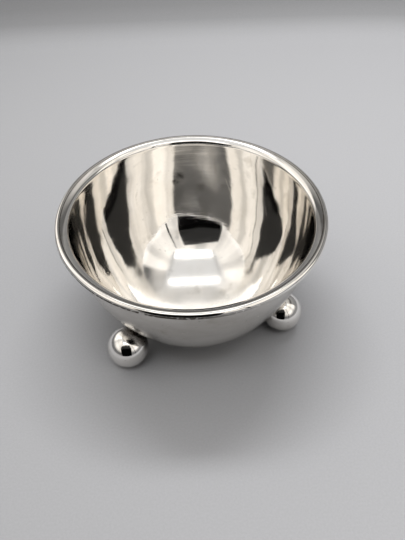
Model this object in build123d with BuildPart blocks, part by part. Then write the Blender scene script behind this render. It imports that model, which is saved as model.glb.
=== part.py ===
from build123d import *
from math import cos, radians, sin, sqrt
import os

# Round open salt cellar in polished silver: a deep bowl with a flared lip and a wired edge, on ball feet.
# Millimetres, +Z up. The origin is on the table, under the bowl's axis.

# Bowl, measured on its inside: a small flat, an arc for the floor and a slower arc for the wall
mouth_diameter = 54.5
bowl_depth = 30.05
flat_diameter = 3.6
floor_turn = 56.6
wall_slope = 84.7
sheet_thickness = 0.9
table_clearance = 0.65

# Lip, which bends out from the wall, and the wire soldered round its edge
lip_slope = 28.0
lip_length = 1.1
lip_under_radius = 0.25
rim_wire_diameter = 1.6

# Hollow ball feet, each of two half shells, worn flat where they stand
ball_diameter = 9.7
ball_shell = 0.6
ball_wear = 0.06
foot_sides = ("back", "left", "right")
back_foot_turn = 90

# Solder between a ball and the bowl
solder_diameter = 3.6
solder_gap = 0.1

mouth_radius = mouth_diameter / 2
flat_radius = flat_diameter / 2
wire_radius = rim_wire_diameter / 2
ball_radius = ball_diameter / 2
floor_level = table_clearance + sheet_thickness
ball_level = ball_radius - ball_wear
lip_direction = Vector(cos(radians(lip_slope)), sin(radians(lip_slope)))
lip_downward = Vector(lip_direction.Y, -lip_direction.X)

# The radii with which the two arcs, one running into the other, reach from the flat to the mouth
reach = mouth_radius - flat_radius
floor_across = sin(radians(floor_turn))
floor_up = 1 - cos(radians(floor_turn))
wall_across = sin(radians(wall_slope)) - floor_across
wall_up = 1 - cos(radians(wall_slope)) - floor_up
spread = floor_across * wall_up - floor_up * wall_across
floor_radius = (reach * wall_up - bowl_depth * wall_across) / spread
wall_radius = (bowl_depth * floor_across - reach * floor_up) / spread

# Half section of the bowl: out along its inside to the lip's edge, then along its outside in the same steps
with BuildLine() as section:
    flat = Line((0, floor_level), (flat_radius, floor_level))
    floor = JernArc(flat @ 1, flat % 1, floor_radius, floor_turn)
    wall = JernArc(floor @ 1, floor % 1, wall_radius, wall_slope - floor_turn)
    bend = JernArc(wall @ 1, wall % 1, lip_under_radius + sheet_thickness, lip_slope - wall_slope)
    lip = PolarLine(bend @ 1, lip_length, direction=lip_direction)
    lip_end = PolarLine(lip @ 1, sheet_thickness, direction=lip_downward)
    under_flat = Line((0, table_clearance), (flat_radius, table_clearance))
    under_floor = JernArc(under_flat @ 1, under_flat % 1, floor_radius + sheet_thickness, floor_turn)
    outside = JernArc(under_floor @ 1, under_floor % 1, wall_radius + sheet_thickness, wall_slope - floor_turn)
    under_bend = JernArc(outside @ 1, outside % 1, lip_under_radius, lip_slope - wall_slope)
    Line(under_bend @ 1, lip_end @ 1)
    Line(under_flat @ 0, flat @ 0)
lip_edge = lip @ 1
lip_corner = lip_end @ 1

# Bowl: one spun sheet of even thickness
with BuildPart() as bowl:
    with BuildSketch(Plane.XZ):
        add(section.line)
        make_face()
    revolve(axis=Axis.Z)
bowl.part.label = "bowl"

# Rim wire: round, level with the top of the lip, rebated to take the lip's edge and underside
wire_centre = lip_edge + lip_downward * wire_radius
under_lip = sqrt(wire_radius**2 - (wire_radius - sheet_thickness) ** 2)
wire_heel = lip_corner - lip_direction * under_lip
with BuildPart() as rim_wire:
    with BuildSketch(Plane.XZ):
        with BuildLine():
            ThreePointArc(lip_edge, wire_centre + lip_direction * wire_radius, wire_heel)
            Line(wire_heel, lip_corner)
            Line(lip_corner, lip_edge)
        make_face()
    revolve(axis=Axis.Z)
rim_wire.part.label = "rim_wire"

# A ball stands as far out as leaves the solder gap between it and the floor's arc
seat_length = floor_radius + sheet_thickness + solder_gap + ball_radius
seat_rise = floor_level + floor_radius - ball_level
seat_reach = sqrt(seat_length**2 - seat_rise**2)
ball_orbit = flat_radius + seat_reach

pieces = [bowl.part, rim_wire.part]
for place, side in enumerate(foot_sides):
    turn = back_foot_turn + place * 360 / len(foot_sides)
    outward = Vector(1, 0, 0).rotate(Axis.Z, turn)
    ball_centre = outward * ball_orbit + Vector(0, 0, ball_level)
    ball_place = Location(ball_centre, (0, 0, turn))
    ball_equator = Plane(ball_centre)
    seat_plane = Plane(ball_centre, z_dir=Vector(0, 0, seat_rise) - outward * seat_reach)

    # Upper half shell of the ball
    with BuildPart() as upper_half:
        with Locations(ball_place):
            Sphere(ball_radius)
            Sphere(ball_radius - ball_shell, mode=Mode.SUBTRACT)
        split(bisect_by=ball_equator, keep=Keep.TOP)
    upper_half.part.label = f"foot_{side}_upper_half"

    # Lower half shell, worn down to the table
    with BuildPart() as lower_half:
        with Locations(ball_place):
            Sphere(ball_radius)
            Sphere(ball_radius - ball_shell, mode=Mode.SUBTRACT)
        split(bisect_by=ball_equator, keep=Keep.BOTTOM)
        split(bisect_by=Plane.XY, keep=Keep.TOP)
    lower_half.part.label = f"foot_{side}_lower_half"

    # Solder that fills the gap between the ball and the bowl round the seat
    with BuildPart() as solder:
        with BuildSketch(seat_plane):
            Circle(solder_diameter / 2)
        extrude(amount=ball_radius + solder_gap + sheet_thickness / 2)
        add(bowl.part, mode=Mode.SUBTRACT)
        with Locations(ball_place):
            Sphere(ball_radius, mode=Mode.SUBTRACT)
    solder.part.label = f"foot_{side}_solder"

    pieces += [upper_half.part, lower_half.part, solder.part]

os.makedirs("parts", exist_ok=True)
for piece in pieces:
    export_step(piece, f"parts/{piece.label}.step")
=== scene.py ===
from math import asin, atan2, copysign, cos, hypot, pi, radians, sin, sqrt
import bmesh
import bpy
from mathutils import Matrix, Vector, noise
from mathutils.geometry import interpolate_bezier


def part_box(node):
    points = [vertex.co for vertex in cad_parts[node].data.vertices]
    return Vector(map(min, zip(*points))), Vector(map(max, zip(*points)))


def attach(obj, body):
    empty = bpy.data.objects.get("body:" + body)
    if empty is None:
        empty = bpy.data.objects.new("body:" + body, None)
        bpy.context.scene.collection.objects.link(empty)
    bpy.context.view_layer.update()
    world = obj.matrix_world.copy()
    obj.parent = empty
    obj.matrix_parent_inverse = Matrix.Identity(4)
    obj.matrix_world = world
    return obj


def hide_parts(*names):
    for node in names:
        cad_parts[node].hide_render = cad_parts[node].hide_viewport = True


# Round open salt cellar in polished silver, on three hollow ball feet. Metres, in the frame of the solids.

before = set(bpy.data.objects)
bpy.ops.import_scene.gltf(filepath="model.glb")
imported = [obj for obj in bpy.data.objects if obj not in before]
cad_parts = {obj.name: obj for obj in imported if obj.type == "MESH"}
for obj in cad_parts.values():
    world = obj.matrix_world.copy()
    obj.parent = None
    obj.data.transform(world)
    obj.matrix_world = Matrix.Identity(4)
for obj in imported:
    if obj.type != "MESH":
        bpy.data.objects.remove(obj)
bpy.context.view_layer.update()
mm = 0.001

# The set in which the cellar stands is turned about its axis
set_turn = Matrix.Rotation(radians(-13.29), 4, "Z")

# Bowl, measured on its inside: a small flat, an arc for the floor, a slower arc for the wall, and a lip
# that bends out
mouth_radius = 27.25 * mm
bowl_depth = 30.05 * mm
flat_radius = 1.8 * mm
floor_turn = radians(56.6)
wall_slope = radians(84.7)
sheet_thickness = 0.9 * mm
lip_slope = radians(28)
lip_length = 1.1 * mm
lip_under_radius = 0.25 * mm
floor_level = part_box("bowl")[0].z + sheet_thickness
mouth_level = floor_level + bowl_depth

# The lip's top is worn round: it ends at a lower slope, along a curve with these handles
lip_end_slope = radians(19.5)
lip_handles = (0.7 * mm, 1.0 * mm)

# The inside as it was spun, slightly out of true: how fast it bends at even steps from the middle to the
# mouth, how far it leans towards the back and to one side, and how oval it is. The lip takes this up
spun_bends = (0.865, 2.131, 2.249, 1.090, 1.167, 0.645)
lean_back = radians(-1.73)
lean_aside = radians(-0.46)
oval = 0.0061
oval_skew = 0.0020

# The beaten sheet is slightly uneven: length and depth of its waves, which are calmer on the floor and end
# at the mouth
waves = ((7 * mm, 0.030 * mm), (3.2 * mm, 0.014 * mm))
floor_calm = 0.6
calm_height = 8 * mm
true_height = 2 * mm

# Wire round the lip's edge, and how far below level the dark band under it lies
wire_radius = 0.8 * mm
under_wire_turn = radians(12)

# Feet, whose places and sizes are those of the solids, and the solder that runs up between ball and bowl
foot_sides = ("back", "left", "right")
ball_shell = 0.6 * mm
solder_ball_radius = 1.75 * mm
solder_bowl_radius = 1.85 * mm
solder_pull = 1.25 * mm

# Mesh steps, the angle from which an edge is sharp, and the radius up to which a ring is one point
turns = 320
flat_steps = 5
floor_steps = 64
wall_steps = 48
bend_steps = 12
lip_steps = 8
wire_steps = 40
ball_turns = 128
ball_steps = 48
solder_turns = 72
solder_steps = 8
cap_steps = 4
fitting_steps = 8
sharp_corner = radians(35)
least_radius = 1e-9

# Colours of the silver and the solder, each bright and dull, and of what dulls or darkens them: cloud on
# the outside (partly painted shade), painted shade on the underside, specks, and tarnish (with painted
# shade where the feet meet the bowl)
silver_colours = ((0.92, 0.90, 0.87), (0.855, 0.825, 0.78))
solder_colours = ((0.72, 0.68, 0.61), (0.45, 0.41, 0.35))
outside_cloud_and_shade = (0.505, 0.48, 0.442)
underside_shade_colour = (0.22, 0.20, 0.18)
speck_colour = (0.40, 0.35, 0.29)
tarnish_and_shade_colour = (0.07, 0.06, 0.05)

# Roughness of the silver and the solder where smooth and where rubbed, and strength of the fine relief
silver_roughness = (0.03, 0.07)
solder_roughness = (0.2, 0.38)
bowl_relief = 0.5
ball_relief = 0.1
solder_relief = 0.8

# Patterns: scale and detail of a noise, two values of that noise, and what the pattern gives at them
speck_pattern = (900, 3, 0.68, 0.78, 0, 1)
smudge_pattern = (230, 4, 0.62, 0.74, 0, 0.3)
pit_pattern = (1300, 1, 0.74, 0.80, 0, 0.8)
stain_breaks = (800, 2, 0.36, 0.56, 0.3, 0.8)
seam_breaks = (1500, 3, 0.30, 0.44, 0.8, 1)
seat_breaks = (1500, 3, 0.3, 0.5, 0.6, 1)
under_wire_breaks = (1100, 2, 0.34, 0.46, 0.3, 1)
cloth_grain = (2200, 3, 0.3, 0.7, 0.965, 1.035)

# Film of tarnish: scale and detail of its noise, and where in it the silver is bright and dull
film_noise = (140, 5)
film_stops = (0.35, 0.75)

# Streaks: turn, length and width, and the two values of their noise between which they come up
cloud_streaks = ((0, 0, 0), 6 * mm, 2.5 * mm)
cloud_range = (0.3, 0.7)
rub_streaks = ((0, 0, 0), 11 * mm, 0.4 * mm)
rub_range = (0.3, 0.7)
scratch_streaks = (
    ((0.9, 0.5, 0.2), 30 * mm, 0.25 * mm),
    ((-0.6, 1.0, 1.1), 24 * mm, 0.22 * mm),
)
scratch_ranges = ((0.66, 0.72), (0.67, 0.73))

# How strongly the marks show in the colour, add to the roughness and count in the relief
speck_share = 0.35
scratch_roughness = 0.05
speck_roughness = 0.15
crevice_roughness = 0.35
scratch_relief = -0.15
dent_relief = 0.5
dent_scale = 600
relief_distance = 0.01 * mm

# Where a surface counts as the outside: how far its points lie from the axis along their own normal
outside_reach = (2 * mm, 12 * mm)

# Cloud on the bowl's outside, partly tarnish and partly painted shade, how thin it gets and how much it
# roughens, and the painted shade that darkens the underside towards the bottom
bowl_cloud = 0.7
thin_cloud = 0.65
cloud_roughness = 0.22
underside_shade_reach = (9.5 * mm, 6.0 * mm)
underside_shade_share = 0.85

# Dark crevices: near and far reach round the seams in the half section, and round a point this deep in each
# ball under its seat. At the wire's heel and the lip's edge they are tarnish; where the feet meet the bowl
# they are tarnish and painted shade, which reaches further on the balls
seat_root_depth = 2 * mm
seat_reach = (2.2 * mm, 2.9 * mm)
ball_seat_reach = (2.9 * mm, 4.4 * mm)
heel_reach = (0.15 * mm, 0.6 * mm)
lip_seam_reach = (0.05 * mm, 0.16 * mm)

# Under the wire the dark band lies towards one side only
under_wire_reach = (0.34 * mm, 0.46 * mm)
under_wire_side = set_turn @ Vector((-0.6, -0.8, 0))
under_wire_stretch = (7 * mm, 24 * mm)

# Stains on the inside of the back wall: place, and near and far reach
stains = (
    (Vector((1.9, 25.1, 21.8)) * mm, (0.6 * mm, 1.1 * mm)),
    (Vector((3.1, 25.4, 23.1)) * mm, (0.5 * mm, 1.7 * mm)),
)

# Spoons have dulled the middle of the bowl's floor
spoon_reach = (10 * mm, 21 * mm)
spoon_wear = 0.13

# Camera, in the turned set
camera_distance = 152.2 * mm
camera_rise = radians(49.97)
camera_pitch = radians(46.35)
camera_yaw = radians(1.24)
camera_roll = radians(1.45)
camera_lens = 38.67
camera_near = 5 * mm

# Backdrop: a floor that sweeps up all round into the walls of a small light tent
tent_reach = 195 * mm
tent_sweep = 45 * mm
tent_height = 400 * mm
tent_squareness = 5
tent_turns = 96
sweep_steps = 12

# Its cloth: height above the floor and colour there, darkened up the sweep and the walls as painted shade,
# and painted shade from the left to the right
cloth_colours_with_shade = (
    (0 * mm, (0.395, 0.398, 0.413)),
    (1 * mm, (0.335, 0.338, 0.35)),
    (3.5 * mm, (0.262, 0.264, 0.272)),
    (9 * mm, (0.21, 0.212, 0.218)),
    (142 * mm, (0.25, 0.25, 0.25)),
    (162 * mm, (0.085, 0.085, 0.085)),
)
left_right_shade_reach = (-100 * mm, 130 * mm)
left_right_shade_shares = (0.88, 1.23)
cloth_roughness = 0.7
cloth_specular = 0.1

# Glow of its walls, the heights at which it starts and is full, and folds that shade it
glow_colour = (1, 0.957, 0.895)
side_glow = 1.22
side_skirt = (45 * mm, 100 * mm)
front_glow = 0.98
front_skirt = (45 * mm, 100 * mm)
front_facing = (0.3, 0.7)
back_glow = 0.46
back_skirt = (190 * mm, 260 * mm)
back_top_glow = 0.04
back_top = (244 * mm, 275 * mm)
back_heading = Vector((0.474, 0.881, 0))
back_reach = (102 * mm, 118 * mm)
fold_stretch = (1, 1, 0.15)
fold_scale = 9
fold_range = (0.35, 0.6)
fold_shade = 0.54

# An upright seam in each side wall, by its place and shade, and the shade low on the right wall
left_seam = (15 * mm, 0.66)
right_seam = (-80 * mm, 0.72)
seam_reach = (10 * mm, 38 * mm)
right_share = 0.80
right_reach = (20 * mm, 120 * mm)
right_height = (230 * mm, 310 * mm)

# Cards, in millimetres in the turned set: a dark opening in two parts and a pole, all upright at the front,
# by their corners across and up and their shade, and rails along both edges of the ceiling
front_cards_at = -150
front_cards = {
    "dark_card": (((-140, 125), (55, 125), (44, 233), (-146, 211)), 0.03),
    "black_card": (((-75, 1), (35, 1), (55, 125), (-140, 125)), 0.002),
    "front_pole": (((100, 1), (108, 1), (108, 265), (100, 265)), 0.03),
}
rails = {"ceiling_rail_left": (-166, -156), "ceiling_rail_right": (156, 166)}
rail_front = -190
rail_back = 170
rail_height = 378
rail_shade = 0.3

# Long soft lamps across the ceiling: middle, width and depth, glow, and glow of the fill that the silver
# doesn't mirror. Then the sky's glow, and how often light is mirrored
near_lamp = (Vector((-2, -152, 380)) * mm, 305 * mm, 95 * mm)
near_bar_glow = 1.3
near_fill_glow = 3.3
far_lamp = (Vector((5, 122, 380)) * mm, 310 * mm, 66 * mm)
far_bar_glow = 1.4
far_fill_glow = 14.1
top_glow = 0.80
mirror_bounces = 5


def run_on(line, radius, turn, steps):
    """Carry a line of places and headings on along an arc, to the left where the turn is positive."""
    start, heading = line[-1]
    to_centre = Vector((-heading.y, heading.x)) * copysign(radius, turn)
    for step in range(1, steps + 1):
        swing = Matrix.Rotation(turn * step / steps, 2)
        line.append((start + to_centre - swing @ to_centre, swing @ heading))


def straight_on(line, length, steps):
    """Carry a line of places and headings straight on."""
    start, heading = line[-1]
    for step in range(1, steps + 1):
        line.append((start + heading * length * step / steps, heading))


# The radii with which the two arcs, one running into the other, reach from the flat to the mouth
reach = mouth_radius - flat_radius
floor_across = sin(floor_turn)
floor_up = 1 - cos(floor_turn)
wall_across = sin(wall_slope) - floor_across
wall_up = 1 - cos(wall_slope) - floor_up
spread = floor_across * wall_up - floor_up * wall_across
floor_radius = (reach * wall_up - bowl_depth * wall_across) / spread
wall_radius = (bowl_depth * floor_across - reach * floor_up) / spread

# Places and headings along the inside of the solid's half section, from the axis to the lip's edge
true_line = [(Vector((0, floor_level)), Vector((1, 0)))]
straight_on(true_line, flat_radius, flat_steps)
run_on(true_line, floor_radius, floor_turn, floor_steps)
run_on(true_line, wall_radius, wall_slope - floor_turn, wall_steps)
mouth_step = len(true_line)
run_on(true_line, lip_under_radius + sheet_thickness, lip_slope - wall_slope, bend_steps)
straight_on(true_line, lip_length, lip_steps)


def spun_inside():
    """The same for the inside as spun, with the same mouth and edge and a lip worn round between them."""
    bends = []
    for step in range(mouth_step):
        knot = step / (mouth_step - 1) * (len(spun_bends) - 1)
        before = min(int(knot), len(spun_bends) - 2)
        bends.append(spun_bends[before] + (spun_bends[before + 1] - spun_bends[before]) * (knot - before))
    slopes = [0]
    for before, after in zip(bends, bends[1:]):
        slopes.append(slopes[-1] + (before + after) / 2)
    slopes = [slope * wall_slope / slopes[-1] for slope in slopes]
    headings = [Vector((cos(slope), sin(slope))) for slope in slopes]
    places = [Vector((0, 0))]
    for before, after in zip(headings, headings[1:]):
        places.append(places[-1] + (before + after) / 2)
    stretch = mouth_radius / places[-1].x
    down = mouth_level - places[-1].y * stretch
    spun = [(place * stretch + Vector((0, down)), heading) for place, heading in zip(places, headings)]
    start, first = true_line[mouth_step - 1]
    end = true_line[-1][0]
    last = Vector((cos(lip_end_slope), sin(lip_end_slope)))
    handles = (start + first * lip_handles[0], end - last * lip_handles[1])
    rounded = interpolate_bezier(start, *handles, end, bend_steps + lip_steps + 1)
    rounded = [point.to_2d() for point in rounded]
    for before, place, after in zip(rounded, rounded[1:], rounded[2:]):
        spun.append((place, (after - before).normalized()))
    spun.append((rounded[-1], last))
    return spun


def outward(heading):
    """Square to a heading in the half section, away from the bowl's inside."""
    return Vector((heading.y, -heading.x))


# Edge and underside of the lip, and points of the wire, in the half section
lip_edge, lip_heading = true_line[-1]
lip_down = outward(lip_heading)
lip_corner = lip_edge + lip_down * sheet_thickness
wire_centre = lip_edge + lip_down * wire_radius
wire_heel = lip_corner - lip_heading * sqrt(wire_radius**2 - (sheet_thickness - wire_radius) ** 2)
wire_under = wire_centre + Vector((cos(under_wire_turn), -sin(under_wire_turn))) * wire_radius

# Middles of the balls, of the floor's arc above each of them, and of the tarnish under each seat
ball_middles = {}
arc_middles = {}
seat_roots = []
for side in foot_sides:
    low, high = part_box(f"foot_{side}_upper_half")
    ball_radius = (high.x - low.x) / 2
    ball_middles[side] = Vector(((low.x + high.x) / 2, (low.y + high.y) / 2, low.z))
    bearing = atan2(ball_middles[side].y, ball_middles[side].x)
    flat_edge = (flat_radius * cos(bearing), flat_radius * sin(bearing))
    arc_middles[side] = Vector((*flat_edge, floor_level + floor_radius))
for side in foot_sides:
    up_to_seat = (arc_middles[side] - ball_middles[side]).normalized()
    seat_roots.append(ball_middles[side] + up_to_seat * (ball_radius - seat_root_depth))


def piece_from(name, mesh, slot, material, *nodes):
    """A piece of the cellar that stands for the named solids."""
    piece = bpy.data.objects.new(name, mesh)
    bpy.context.scene.collection.objects.link(piece)
    mesh.materials.append(material)
    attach(piece, "root")
    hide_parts(*nodes)


def turned(section, steps, centre=(0, 0)):
    """Rings of points from a half section turned about an upright axis. On the axis a ring is one point."""
    rings = []
    for radius, height in section:
        count = steps if radius > least_radius else 1
        ring = []
        for step in range(count):
            angle = 2 * pi * step / count
            ring.append(Vector((centre[0] + radius * cos(angle), centre[1] + radius * sin(angle), height)))
        rings.append(ring)
    return rings


def skin(name, rings, closed=False):
    """Smooth mesh over rings of points."""
    shape = bmesh.new()
    loops = [[shape.verts.new(point) for point in ring] for ring in rings]
    pairs = list(zip(loops, loops[1:]))
    if closed:
        pairs.append((loops[-1], loops[0]))
    for lower, upper in pairs:
        count = max(len(lower), len(upper))
        for step in range(count):
            after = (step + 1) % count
            first, second = lower[step % len(lower)], lower[after % len(lower)]
            third, fourth = upper[after % len(upper)], upper[step % len(upper)]
            shape.faces.new(list(dict.fromkeys((first, second, third, fourth))))
    bmesh.ops.recalc_face_normals(shape, faces=shape.faces)
    mesh = bpy.data.meshes.new(name)
    shape.to_mesh(mesh)
    shape.free()
    mesh.shade_smooth()
    mesh.set_sharp_from_angle(angle=sharp_corner)
    return mesh


class Nodes:
    """Short way to add nodes to a material."""

    def __init__(self, name):
        self.material = bpy.data.materials.new(name)
        self.material.use_nodes = True
        self.tree = self.material.node_tree
        self.shader = self.tree.nodes["Principled BSDF"]

    def add(self, kind, inputs=None, **settings):
        node = self.tree.nodes.new(kind)
        for key, value in settings.items():
            setattr(node, key, value)
        for key, value in (inputs or {}).items():
            if isinstance(value, bpy.types.NodeSocket):
                self.tree.links.new(value, node.inputs[key])
            else:
                node.inputs[key].default_value = value
        return node

    def link(self, output, name):
        self.tree.links.new(output, self.shader.inputs[name])

    def set(self, name, value):
        self.shader.inputs[name].default_value = value

    def noise(self, place, scale, detail=2):
        inputs = {"Vector": place, "Scale": scale, "Detail": detail}
        return self.add("ShaderNodeTexNoise", inputs).outputs["Fac"]

    def fit(self, value, low, high, to_low=0, to_high=1):
        inputs = {"Value": value, "From Min": low, "From Max": high, "To Min": to_low, "To Max": to_high}
        return self.add("ShaderNodeMapRange", inputs).outputs["Result"]

    def pattern(self, place, scale, detail, low, high, to_low, to_high):
        return self.fit(self.noise(place, scale, detail), low, high, to_low, to_high)

    def maths(self, operation, *values):
        return self.add("ShaderNodeMath", dict(enumerate(values)), operation=operation).outputs[0]

    def product(self, first, *others):
        for other in others:
            first = self.maths("MULTIPLY", first, other)
        return first

    def most(self, first, *others):
        for other in others:
            first = self.maths("MAXIMUM", first, other)
        return first

    def vectors(self, operation, output, *values):
        node = self.add("ShaderNodeVectorMath", dict(enumerate(values)), operation=operation)
        return node.outputs[output]

    def near(self, place, centre, reaches):
        return self.fit(self.vectors("DISTANCE", "Value", place, centre), *reaches, 1, 0)

    def split(self, vector):
        return self.add("ShaderNodeSeparateXYZ", {"Vector": vector}).outputs

    def between(self, share, first, second):
        return self.add("ShaderNodeMix", {0: share, 2: first, 3: second}, data_type="FLOAT").outputs[0]

    def tinted(self, share, first, second):
        return self.add("ShaderNodeMix", {0: share, 6: first, 7: (*second, 1)}, data_type="RGBA").outputs[2]

    def streaks(self, place, turn, length, width):
        stretch = {"Vector": place, "Rotation": turn, "Scale": (length, length, width)}
        return self.noise(self.add("ShaderNodeMapping", stretch, vector_type="TEXTURE").outputs[0], 1)

    def ramp(self, factor, *stops):
        node = self.add("ShaderNodeValToRGB", {"Fac": factor})
        elements = node.color_ramp.elements
        while len(elements) < len(stops):
            elements.new(0.5)
        for element, (place, colour) in zip(elements, stops):
            element.position = place
            element.color = (*colour, 1)
        return node.outputs["Color"]


def crevices(nodes, place, level, height, reach_at_seat):
    """One in the seams round the rim and where the feet are soldered on, and zero away from them."""
    across = nodes.vectors("LENGTH", "Value", level)
    section = nodes.add("ShaderNodeCombineXYZ", {"X": across, "Z": height}).outputs[0]
    heel = nodes.near(section, wire_heel.to_3d().xzy, heel_reach)
    lip_seam = nodes.near(section, lip_edge.to_3d().xzy, lip_seam_reach)
    under_wire = nodes.near(section, wire_under.to_3d().xzy, under_wire_reach)
    along = nodes.fit(nodes.vectors("DOT_PRODUCT", "Value", place, under_wire_side), *under_wire_stretch)
    under_wire = nodes.product(under_wire, nodes.pattern(place, *under_wire_breaks), along)
    seams = nodes.product(nodes.most(heel, under_wire, lip_seam), nodes.pattern(place, *seam_breaks))
    # Where the feet meet the bowl the dark is tarnish and painted shade
    seats = nodes.most(*[nodes.near(place, root, reach_at_seat) for root in seat_roots])
    return nodes.most(seams, nodes.product(seats, nodes.pattern(place, *seat_breaks)))


def silver(name, colours, roughness, relief_strength, reach_at_seat, cloud=0, stained=()):
    """Silver with a film of tarnish, rubbing lines, fine scratches, specks, pits and dark crevices.

    Spoons have dulled it near the middle of the bowl's floor. With cloud it has a cloudy outside, partly
    painted shade, and an underside darkened towards the bottom with painted shade as well, and it is dark
    where it is stained.
    """
    nodes = Nodes(name)
    spots = nodes.add("ShaderNodeTexCoord")
    place = spots.outputs["Object"]
    height = nodes.split(place)["Z"]
    level = nodes.vectors("MULTIPLY", "Vector", place, (1, 1, 0))
    outwards = nodes.vectors("DOT_PRODUCT", "Value", spots.outputs["Normal"], level)
    outside = nodes.fit(outwards, *outside_reach)
    specks = nodes.pattern(place, *speck_pattern)
    rubs = nodes.streaks(place, *rub_streaks)
    scratched = []
    for streak, ends in zip(scratch_streaks, scratch_ranges):
        scratched.append(nodes.fit(nodes.streaks(place, *streak), *ends))
    scratches = nodes.most(*scratched)
    deep = crevices(nodes, place, level, height, reach_at_seat)
    spooned = nodes.near(place, (0, 0, floor_level), spoon_reach)

    # Colour
    colour = nodes.ramp(nodes.noise(place, *film_noise), *zip(film_stops, colours))
    if cloud:
        below_lip = nodes.product(outside, nodes.fit(height, mouth_level, mouth_level - true_height))
        # The cloud darkens the outside, partly as tarnish and partly as painted shade
        cloudy = nodes.fit(nodes.streaks(place, *cloud_streaks), *cloud_range, thin_cloud * cloud, cloud)
        colour = nodes.tinted(nodes.product(below_lip, cloudy), colour, outside_cloud_and_shade)
        # Painted shade: the outside gets darker towards the bottom of the bowl
        under = nodes.fit(height, *underside_shade_reach, 0, underside_shade_share)
        colour = nodes.tinted(nodes.product(outside, under), colour, underside_shade_colour)
    spotted = nodes.most(nodes.product(specks, speck_share), nodes.pattern(place, *smudge_pattern))
    colour = nodes.tinted(spotted, colour, speck_colour)
    pits = nodes.product(nodes.pattern(place, *pit_pattern), outside)
    colour = nodes.tinted(pits, colour, tarnish_and_shade_colour)
    for stain, reaches in stained:
        stain_share = nodes.product(nodes.near(place, stain, reaches), nodes.pattern(place, *stain_breaks))
        colour = nodes.tinted(stain_share, colour, tarnish_and_shade_colour)
    nodes.link(nodes.tinted(deep, colour, tarnish_and_shade_colour), "Base Color")

    # Roughness
    rough = nodes.fit(rubs, *rub_range, *roughness)
    marks = [(scratches, scratch_roughness), (specks, speck_roughness), (deep, crevice_roughness)]
    marks.append((spooned, spoon_wear))
    if cloud:
        marks.append((below_lip, cloud_roughness * cloud))
    for mark, strength in marks:
        rough = nodes.maths("MULTIPLY_ADD", mark, strength, rough)
    nodes.link(rough, "Roughness")

    # Relief
    relief = nodes.maths("MULTIPLY_ADD", scratches, scratch_relief, rubs)
    relief = nodes.maths("MULTIPLY_ADD", nodes.noise(place, dent_scale), dent_relief, relief)
    bumps = {"Height": relief, "Strength": relief_strength, "Distance": relief_distance}
    nodes.link(nodes.add("ShaderNodeBump", bumps).outputs["Normal"], "Normal")
    nodes.set("Metallic", 1)
    return nodes.material


def backdrop_paint():
    """Pale grey cloth. Its walls glow some way up, the sides and the front from lower than the back."""
    nodes = Nodes("backdrop_cloth")
    spots = nodes.add("ShaderNodeTexCoord")
    place = spots.outputs["Object"]
    apart = nodes.split(place)
    height = apart["Z"]

    # Cloth, with painted shade up the sweep and walls and from the left to the right
    left_right_shade = nodes.fit(apart["X"], *left_right_shade_reach, *left_right_shade_shares)
    shade = nodes.product(left_right_shade, nodes.pattern(place, *cloth_grain))
    shaded = {0: nodes.ramp(height, *cloth_colours_with_shade), "Scale": shade}
    nodes.link(nodes.add("ShaderNodeVectorMath", shaded, operation="SCALE").outputs["Vector"], "Base Color")
    nodes.set("Roughness", cloth_roughness)
    nodes.set("Specular IOR Level", cloth_specular)

    # Glow of the side walls, of the front one and of the back one
    on_right = nodes.fit(apart["X"], *right_reach)
    seams = []
    for seam_place, seam_share in (left_seam, right_seam):
        away = nodes.maths("ABSOLUTE", nodes.maths("SUBTRACT", apart["Y"], seam_place))
        seams.append(nodes.fit(away, *seam_reach, seam_share, 1))
    low_right = nodes.product(on_right, nodes.fit(height, *right_height, 1, 0))
    sides = nodes.product(nodes.fit(height, *side_skirt, 0, side_glow), nodes.between(on_right, *seams))
    sides = nodes.product(sides, nodes.fit(low_right, 0, 1, 1, right_share))
    front = nodes.fit(height, *front_skirt, 0, front_glow)
    back = nodes.fit(height, *back_skirt, 0, back_glow)
    back = nodes.maths("ADD", back, nodes.fit(height, *back_top, 0, back_top_glow))
    facing = nodes.split(spots.outputs["Normal"])
    glow = nodes.between(nodes.fit(facing["Y"], *front_facing), sides, front)
    behind = nodes.fit(nodes.vectors("DOT_PRODUCT", "Value", place, back_heading), *back_reach)
    glow = nodes.between(behind, glow, back)
    folds = nodes.noise(nodes.vectors("MULTIPLY", "Vector", place, fold_stretch), fold_scale)
    nodes.link(nodes.product(glow, nodes.fit(folds, *fold_range, fold_shade, 1)), "Emission Strength")
    nodes.set("Emission Color", (*glow_colour, 1))
    return nodes.material


# Finishes
polished_bowl = silver(
    "polished_bowl", silver_colours, silver_roughness, bowl_relief, seat_reach, bowl_cloud, stains
)
polished = silver("polished_silver", silver_colours, silver_roughness, ball_relief, ball_seat_reach)
soldered = silver("silver_solder", solder_colours, solder_roughness, solder_relief, seat_reach)

# What the lean and the ovality do to the inside, about the middle of the mouth
mouth_middle = Vector((0, 0, mouth_level))
squeeze = Matrix(((1 - oval, -oval_skew, 0), (-oval_skew, 1 + oval, 0), (0, 0, 1)))
lean = Matrix.Rotation(lean_back, 3, "X") @ Matrix.Rotation(lean_aside, 3, "Y")
to_set = set_turn.to_3x3()
warp = to_set @ lean @ squeeze @ to_set.inverted()


def out_of_true(spot, square):
    """How far the lean and the ovality of the inside move a point of it, square to the sheet."""
    moved = warp @ (spot - mouth_middle) + mouth_middle
    return square * (moved - spot).dot(square)


def around(count):
    """Even turns about the bowl's axis."""
    return [Matrix.Rotation(2 * pi * step / count, 3, "Z") for step in range(count)]


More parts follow.
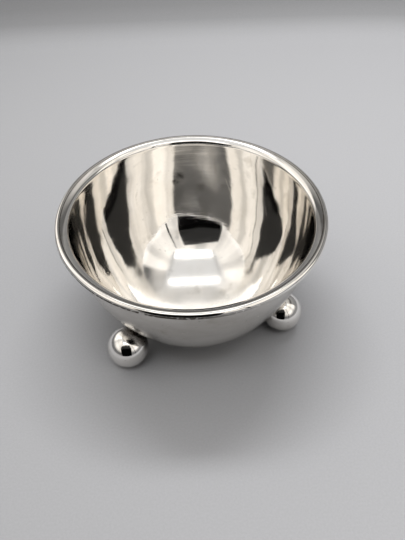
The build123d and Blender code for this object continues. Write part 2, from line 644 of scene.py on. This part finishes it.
def bowl_rings(line, distance):
    """Rings of points over the bowl, at a distance from a line of its inside, with the sheet's waves."""
    rings = []
    for place, heading in line:
        away = outward(heading)
        point = place + away * distance
        calm = floor_calm + (1 - floor_calm) * min(1, max(0, (place.y - floor_level) / calm_height))
        calm *= min(1, max(0, (mouth_level - place.y) / true_height))
        ring = []
        for turn in around(turns if place.x > 0 else 1):
            spot = turn @ Vector((place.x, 0, place.y))
            wave = sum(noise.noise(spot / length) * depth for length, depth in waves) * calm
            ring.append(turn @ Vector((point.x + away.x * wave, 0, point.y + away.y * wave)))
        rings.append(ring)
    return rings


# Bowl. Its inside is moved out of true up to the mouth, and from there less and less to the lip's edge
inside_line = spun_inside()
inside_rings = bowl_rings(inside_line, 0)
for ring, (place, heading) in zip(inside_rings[:mouth_step], inside_line):
    away = outward(heading).to_3d().xzy
    shifts = [out_of_true(spot, turn @ away) for spot, turn in zip(ring, around(len(ring)))]
    ring[:] = [spot + shift for spot, shift in zip(ring, shifts)]
for number, ring in enumerate(inside_rings[mouth_step:], 1):
    left_over = 1 - number / (bend_steps + lip_steps)
    ring[:] = [spot + shift * left_over for spot, shift in zip(ring, shifts)]
outside_rings = bowl_rings(true_line, sheet_thickness)
bowl_mesh = skin("bowl", inside_rings + outside_rings[::-1])
piece_from("bowl", bowl_mesh, "polished_silver", polished_bowl, "bowl")

# Rim wire, rebated to take the lip's edge and underside
heel_turn = 3 * pi / 2 - asin((sheet_thickness - wire_radius) / wire_radius)
wire_section = []
for step in range(wire_steps + 1):
    angle = heel_turn * step / wire_steps
    spot = wire_centre - lip_down * wire_radius * cos(angle)
    wire_section.append(spot + lip_heading * wire_radius * sin(angle))
wire_section.append(lip_corner)
wire_mesh = skin("rim_wire", turned(wire_section, turns), closed=True)
piece_from("rim_wire", wire_mesh, "polished_silver", polished, "rim_wire")


def half_ball(side, half):
    """One half shell of a ball foot. The lower one is worn flat at the table."""
    middle = ball_middles[side]
    inner = ball_radius - ball_shell
    hand = 1 if half == "upper" else -1
    start = asin(sqrt(ball_radius**2 - middle.z**2) / ball_radius) if half == "lower" else 0
    section = [(0, 0)] if half == "lower" else []
    for step in range(ball_steps + 1):
        angle = start + (pi / 2 - start) * step / ball_steps
        section.append((ball_radius * sin(angle), middle.z + hand * ball_radius * cos(angle)))
    for step in range(ball_steps, -1, -1):
        angle = pi / 2 * step / ball_steps
        section.append((inner * sin(angle), middle.z + hand * inner * cos(angle)))
    mesh = skin(f"foot_{side}_{half}_half", turned(section, ball_turns, middle.xy))
    normals = []
    for vertex in mesh.vertices:
        away = vertex.co - middle
        normals.append(away.normalized() * (1 if away.length > ball_radius - ball_shell / 2 else -1))
    mesh.normals_split_custom_set_from_vertices(normals)
    return mesh


def solder_run(side):
    """Solder drawn up between a ball and the bowl, with a hollow side."""
    middle = ball_middles[side]
    axis = (arc_middles[side] - middle).normalized()
    level = axis.cross(Vector((0, 0, 1))).normalized()
    steep = axis.cross(level)
    out_radius = floor_radius + sheet_thickness

    def ring_of(radius, lift):
        ring = []
        for step in range(solder_turns if radius > 0 else 1):
            angle = 2 * pi * step / solder_turns
            spoke = level * cos(angle) + steep * sin(angle)
            ring.append(middle + axis * lift + spoke * radius)
        return ring

    def on_ball(radius):
        return ring_of(radius, sqrt(ball_radius**2 - radius**2))

    def on_bowl(radius):
        ring = ring_of(radius, ball_radius)
        for fitting in range(fitting_steps):
            for point in ring:
                across = hypot(point.x, point.y) - flat_radius
                beyond = hypot(across, point.z - arc_middles[side].z) - out_radius
                point += axis * beyond
        return ring

    rings = [on_ball(solder_ball_radius * step / cap_steps) for step in range(cap_steps + 1)]
    foot, head = rings[-1], on_bowl(solder_bowl_radius)
    pull = ring_of(solder_pull, ball_radius)
    for step in range(1, solder_steps):
        share = step / solder_steps
        rest = 1 - share
        ring = [a * rest**2 + b * 2 * rest * share + c * share**2 for a, b, c in zip(foot, pull, head)]
        rings.append(ring)
    rings += [on_bowl(solder_bowl_radius * step / cap_steps) for step in range(cap_steps, -1, -1)]
    return skin(f"foot_{side}_solder", rings)


# Feet and their solder
for side in foot_sides:
    for half in ("upper", "lower"):
        name = f"foot_{side}_{half}_half"
        piece_from(name, half_ball(side, half), "polished_silver", polished, name)
    piece_from(f"foot_{side}_solder", solder_run(side), "silver_solder", soldered, f"foot_{side}_solder")


def place_camera():
    """Camera at the photograph's angle."""
    forward = cos(camera_pitch)
    ahead = Vector((sin(camera_yaw) * forward, cos(camera_yaw) * forward, -sin(camera_pitch)))
    level = Vector((cos(camera_yaw), -sin(camera_yaw), 0))
    down = ahead.cross(level)
    right = level * cos(camera_roll) + down * sin(camera_roll)
    under = down * cos(camera_roll) - level * sin(camera_roll)
    eye = Vector((0, -cos(camera_rise), sin(camera_rise))) * camera_distance
    axes = Matrix((right, -under, -ahead)).transposed().to_4x4()
    camera = bpy.data.objects.new("camera", bpy.data.cameras.new("camera"))
    camera.data.lens = camera_lens
    camera.data.clip_start = camera_near
    camera.matrix_world = set_turn @ Matrix.Translation(eye) @ axes
    bpy.context.scene.collection.objects.link(camera)
    bpy.context.scene.camera = camera


def light_panel(name, middle, width, depth, glow, mirrored=True):
    """Flat soft lamp that faces down, mirrored or not. The glow is its brightness, where 1 is white."""
    lamp = bpy.data.lights.new(name, "AREA")
    lamp.shape = "RECTANGLE"
    lamp.size = width
    lamp.size_y = depth
    lamp.energy = glow * pi * width * depth
    panel = bpy.data.objects.new(name, lamp)
    panel.matrix_world = set_turn @ Matrix.Translation(middle)
    panel.visible_camera = False
    panel.visible_glossy = mirrored
    bpy.context.scene.collection.objects.link(panel)


def card(name, corners, shade):
    """Flat card or rail that the silver mirrors and the camera doesn't see."""
    mesh = bpy.data.meshes.new(name)
    mesh.from_pydata([Vector(corner) * mm for corner in corners], [], [range(len(corners))])
    paint = Nodes(name)
    paint.set("Base Color", (shade, shade, shade, 1))
    paint.set("Specular IOR Level", 0)
    mesh.materials.append(paint.material)
    sheet = bpy.data.objects.new(name, mesh)
    sheet.matrix_world = set_turn
    sheet.visible_camera = False
    bpy.context.scene.collection.objects.link(sheet)


place_camera()

# Backdrop
tent_section = [(0, 0), (tent_reach - tent_sweep, 0)]
for step in range(1, sweep_steps + 1):
    angle = pi / 2 * step / sweep_steps
    tent_section.append((tent_reach - tent_sweep + tent_sweep * sin(angle), tent_sweep * (1 - cos(angle))))
tent_section.append((tent_reach, tent_height))
tent_mesh = skin("backdrop", turned(tent_section, tent_turns))
for vertex in tent_mesh.vertices:
    across = hypot(vertex.co.x, vertex.co.y)
    if across > 0:
        corner = abs(vertex.co.x / across) ** tent_squareness + abs(vertex.co.y / across) ** tent_squareness
        vertex.co.xy *= corner ** (-1 / tent_squareness)
tent_mesh.flip_normals()
tent_mesh.materials.append(backdrop_paint())
tent = bpy.data.objects.new("backdrop", tent_mesh)
tent.matrix_world = set_turn
bpy.context.scene.collection.objects.link(tent)

# Cards and rails
for name, (corners, shade) in front_cards.items():
    card(name, [(across, front_cards_at, up) for across, up in corners], shade)
for name, (left, right) in rails.items():
    ends = ((left, rail_front), (right, rail_front), (right, rail_back), (left, rail_back))
    card(name, [(*end, rail_height) for end in ends], rail_shade)

# Lamps and sky
light_panel("ceiling_near", *near_lamp, near_bar_glow)
light_panel("ceiling_near_fill", *near_lamp, near_fill_glow, mirrored=False)
light_panel("ceiling_far", *far_lamp, far_bar_glow)
light_panel("ceiling_far_fill", *far_lamp, far_fill_glow, mirrored=False)
world = bpy.data.worlds.new("studio")
world.use_nodes = True
world.node_tree.nodes["Background"].inputs["Color"].default_value = (top_glow, top_glow, top_glow, 1)
bpy.context.scene.world = world
bpy.context.scene.view_settings.view_transform = "Standard"
bpy.context.scene.cycles.glossy_bounces = mirror_bounces
bpy.context.scene.cycles.caustics_reflective = False
